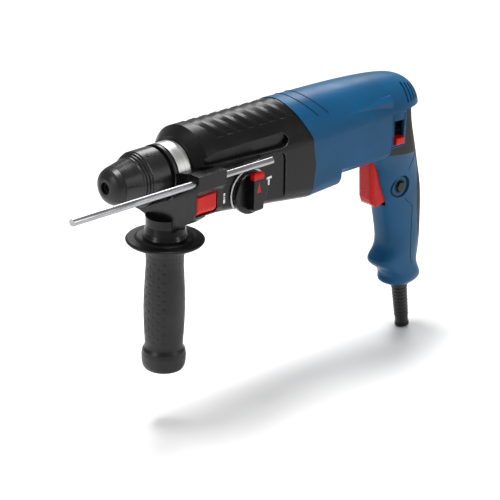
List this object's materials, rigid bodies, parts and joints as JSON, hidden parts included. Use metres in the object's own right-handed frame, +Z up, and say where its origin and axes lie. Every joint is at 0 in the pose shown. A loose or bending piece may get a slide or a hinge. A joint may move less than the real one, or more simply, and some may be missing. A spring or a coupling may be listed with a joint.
{
  "type": "rotary hammer",
  "caption": "Corded rotary hammer with a keyless tool holder, pistol handle, swivelling side handle, depth rod and rotary mode knob.",
  "frame": {"origin": "mouth of the tool bore at the nose, on the spindle axis", "axes": "-X out of the nose along the spindle, +Z up away from the handle, -Y towards the side with the mode knob"},
  "size_m": [0.4373, 0.0803, 0.2577],
  "materials": {
    "black_housing": "fine moulded texture",
    "blue_housing": "fine moulded texture",
    "soft_grip": "matt over-moulded grip",
    "red_plastic": "satin moulded plastic",
    "black_plastic": "satin moulded plastic",
    "black_rubber": "matt rubber",
    "steel": "ground and polished",
    "spring_steel": "drawn wire",
    "rolled_strap": "bright rolled strip",
    "aluminium": "die cast",
    "laminations": "stacked sheet",
    "copper": "enamelled copper wire",
    "phenolic": "moulded board",
    "carbon": "sintered graphite",
    "grey_plastic": "moulded"
  },
  "bodies": {
    "housing": {"gear_housing": "black_housing", "motor_housing": "blue_housing", "handle_cover": "blue_housing", "soft_grip": "soft_grip", "bearing_carrier": "aluminium", "bearing_flange": "aluminium", "spindle_front_bearing": "steel", "spindle_rear_bearing": "steel", "shaft_seal": "black_rubber", "counter_bearings": "steel", "armature_front_bearing": "steel", "armature_rear_bearing": "steel", "stator_core": "laminations", "field_coils": "copper", "air_baffle": "grey_plastic", "switch_body": "grey_plastic", "electronics_module": "grey_plastic", "capacitor": "grey_plastic", "cord_sleeve": "black_rubber", "cable_clamp": "grey_plastic", "housing_screws": "steel"},
    "spindle": {"hammer_tube": "steel", "spindle_gear": "steel", "clutch_plate": "steel", "clutch_spring": "spring_steel", "dust_cap": "black_rubber", "locking_balls": "steel", "ball_retainer": "steel", "holder_spring": "spring_steel", "chuck_collar": "black_plastic"},
    "sleeve": {"locking_sleeve": "black_plastic"},
    "anvil": {"anvil": "steel"},
    "striker": {"striker": "steel", "striker_seal": "black_rubber"},
    "piston": {"piston": "aluminium", "piston_pin": "steel"},
    "wobble": {"wobble_ring": "steel"},
    "counter": {"counter_shaft": "steel", "counter_gear": "steel", "wobble_drum": "steel"},
    "armature": {"armature_shaft": "steel", "armature_core": "laminations", "armature_windings": "copper", "commutator": "copper", "cooling_fan": "grey_plastic"},
    "brush_gear": {"brush_plate": "phenolic", "brush_holders": "aluminium", "carbon_brushes": "carbon"},
    "reverser": {"reversing_lever": "red_plastic"},
    "selector": {"selector_knob": "black_plastic", "selector_pointer": "red_plastic"},
    "selector_button": {"selector_button": "red_plastic"},
    "trigger": {"trigger": "red_plastic"},
    "lock_button": {"lock_button": "black_plastic"},
    "side_clamp": {"clamp_body": "black_plastic", "clamp_strap": "rolled_strap", "clamp_bolt": "steel"},
    "depth_rod": {"depth_rod": "steel"},
    "release_button": {"release_button": "red_plastic"},
    "side_grip": {"side_grip": "black_plastic"}
  },
  "joints": [
    {"name": "armature_spin", "type": "hinge", "parent": "housing", "child": "armature", "pos_m": [0.24, 0, -0.008], "axis": [1, 0, 0], "continuous": true},
    {"name": "counter_spin", "type": "hinge", "parent": "housing", "child": "counter", "pos_m": [0.14, 0, -0.026], "axis": [1, 0, 0], "continuous": true},
    {"name": "spindle_spin", "type": "hinge", "parent": "housing", "child": "spindle", "pos_m": [0.1, 0, 0], "axis": [1, 0, 0], "continuous": true},
    {"name": "sleeve_slide", "type": "slide", "parent": "spindle", "child": "sleeve", "axis": [1, 0, 0], "range_m": [0, 0.0028], "stiffness_N_per_m": 1500},
    {"name": "anvil_slide", "type": "slide", "parent": "spindle", "child": "anvil", "axis": [1, 0, 0], "range_m": [-0.003, 0.003]},
    {"name": "striker_slide", "type": "slide", "parent": "spindle", "child": "striker", "axis": [1, 0, 0], "range_m": [-0.0045, 0.005]},
    {"name": "wobble_tilt", "type": "hinge", "parent": "housing", "child": "wobble", "pos_m": [0.168, 0, -0.026], "axis": [0, 1, 0], "range_deg": [-16.53, 16.53]},
    {"name": "piston_slide", "type": "slide", "parent": "housing", "child": "piston", "axis": [1, 0, 0], "range_m": [-0.0076, 0.0076]},
    {"name": "selector_turn", "type": "hinge", "parent": "housing", "child": "selector", "pos_m": [0.124, -0.034, -0.0235], "axis": [0, 1, 0], "range_deg": [-90, 90]},
    {"name": "selector_button_press", "type": "slide", "parent": "selector", "child": "selector_button", "axis": [0, 1, 0], "range_m": [0, 0.002], "stiffness_N_per_m": 800},
    {"name": "trigger_pull", "type": "slide", "parent": "housing", "child": "trigger", "axis": [1, 0, 0], "range_m": [0, 0.0065], "stiffness_N_per_m": 1200, "springref_m": -0.002},
    {"name": "lock_button_press", "type": "slide", "parent": "housing", "child": "lock_button", "axis": [0, 1, 0], "range_m": [0, 0.0022], "stiffness_N_per_m": 800},
    {"name": "reverser_slide", "type": "slide", "parent": "housing", "child": "reverser", "axis": [0, 0, 1], "range_m": [0, 0.014]},
    {"name": "brush_gear_turn", "type": "hinge", "parent": "housing", "child": "brush_gear", "pos_m": [0.291, 0, -0.008], "axis": [1, 0, 0], "range_deg": [-34.5, 0.5]},
    {"name": "side_clamp_swivel", "type": "hinge", "parent": "housing", "child": "side_clamp", "pos_m": [0.0637, 0, 0], "axis": [1, 0, 0], "range_deg": [-90, 0]},
    {"name": "depth_rod_slide", "type": "slide", "parent": "side_clamp", "child": "depth_rod", "axis": [1, 0, 0], "range_m": [-0.04, 0.04]},
    {"name": "release_button_press", "type": "slide", "parent": "side_clamp", "child": "release_button", "axis": [0, 1, 0], "range_m": [0, 0.0018], "stiffness_N_per_m": 800},
    {"name": "side_grip_turn", "type": "hinge", "parent": "side_clamp", "child": "side_grip", "pos_m": [0.0637, 0, -0.1], "axis": [0, 0, 1], "continuous": true}
  ],
  "couplings": [
    {"joint": "counter_spin", "follows": "armature_spin", "ratio": -0.2},
    {"joint": "spindle_spin", "follows": "armature_spin", "ratio": 0.053659},
    {"joint": "piston_slide", "follows": "wobble_tilt", "m_per_rad": 0.026},
    {"joint": "brush_gear_turn", "follows": "reverser_slide", "rad_per_m": -42.26}
  ]
}
